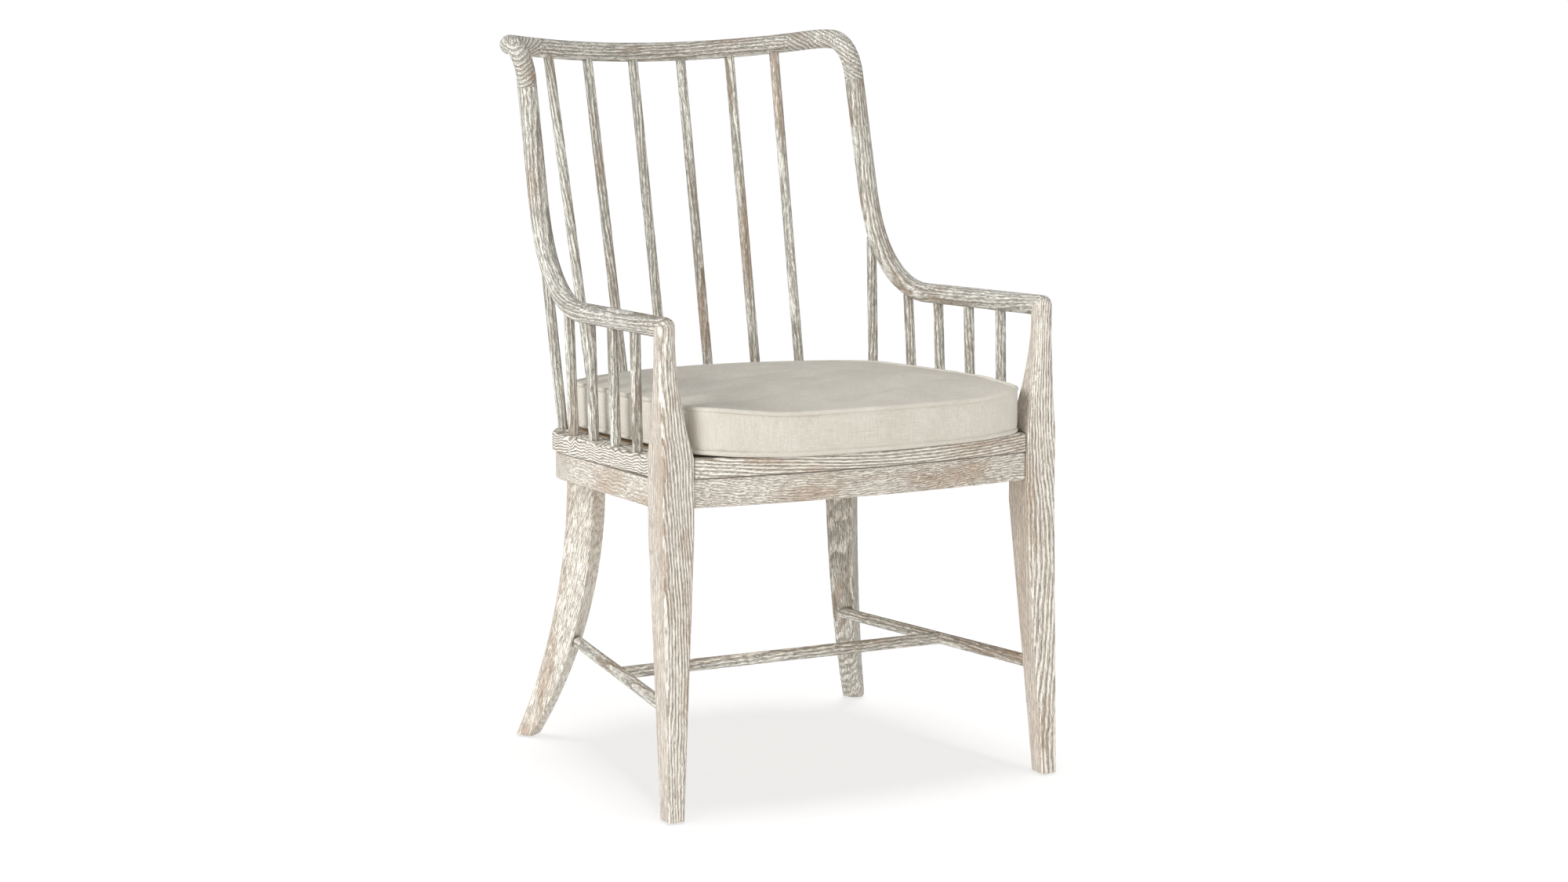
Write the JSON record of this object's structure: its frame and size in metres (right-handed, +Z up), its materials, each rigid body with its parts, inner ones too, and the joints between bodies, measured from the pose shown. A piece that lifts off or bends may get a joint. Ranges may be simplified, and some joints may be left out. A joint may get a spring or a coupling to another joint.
{
  "type": "armchair",
  "caption": "Spindle-back dining armchair in limed hardwood: bowed seat frame on tapered front and sabre rear legs, round arms and crest rail, H stretcher, loose piped box cushion.",
  "frame": {"origin": "on the floor under the middle of the chair's outer box", "axes": "+Z up, the chair faces -Y, +X is on the right of a viewer who looks at its front"},
  "size_m": [0.5844, 0.6808, 0.9895],
  "materials": {
    "limed_oak": "brushed open grain with pale lime wax, matt",
    "linen": "plain weave, matt",
    "plywood": "sanded",
    "block_wood": "sawn and sanded",
    "dowel_beech": "plain",
    "zinc_steel": "zinc plated",
    "nylon": "moulded"
  },
  "bodies": {
    "frame": {"arm_left": "limed_oak", "arm_right": "limed_oak", "arm_spindle_left_1": "limed_oak", "arm_spindle_left_2": "limed_oak", "arm_spindle_left_3": "limed_oak", "arm_spindle_left_4": "limed_oak", "arm_spindle_left_5": "limed_oak", "arm_spindle_right_1": "limed_oak", "arm_spindle_right_2": "limed_oak", "arm_spindle_right_3": "limed_oak", "arm_spindle_right_4": "limed_oak", "arm_spindle_right_5": "limed_oak", "back_apron": "limed_oak", "back_spindle_1": "limed_oak", "back_spindle_2": "limed_oak", "back_spindle_3": "limed_oak", "back_spindle_4": "limed_oak", "back_spindle_5": "limed_oak", "back_spindle_6": "limed_oak", "back_stile_left": "limed_oak", "back_stile_right": "limed_oak", "corner_block_screws": "zinc_steel", "corner_blocks": "block_wood", "crest_corner_left": "limed_oak", "crest_corner_right": "limed_oak", "crest_rail": "limed_oak", "cross_stretcher": "limed_oak", "foot_glides": "nylon", "frame_dowels": "dowel_beech", "front_apron": "limed_oak", "front_leg_left": "limed_oak", "front_leg_right": "limed_oak", "rear_leg_left": "limed_oak", "rear_leg_right": "limed_oak", "seat_dowels": "dowel_beech", "seat_panel": "plywood", "seat_rim_back": "limed_oak", "seat_rim_front": "limed_oak", "seat_rim_left": "limed_oak", "seat_rim_right": "limed_oak", "side_apron_left": "limed_oak", "side_apron_right": "limed_oak", "side_stretcher_left": "limed_oak", "side_stretcher_right": "limed_oak"},
    "cushion": {"cushion": "linen"}
  },
  "joints": [
    {"name": "cushion_lift", "type": "slide", "parent": "frame", "child": "cushion", "axis": [0, 0, 1], "range_m": [0, 0.25]}
  ]
}
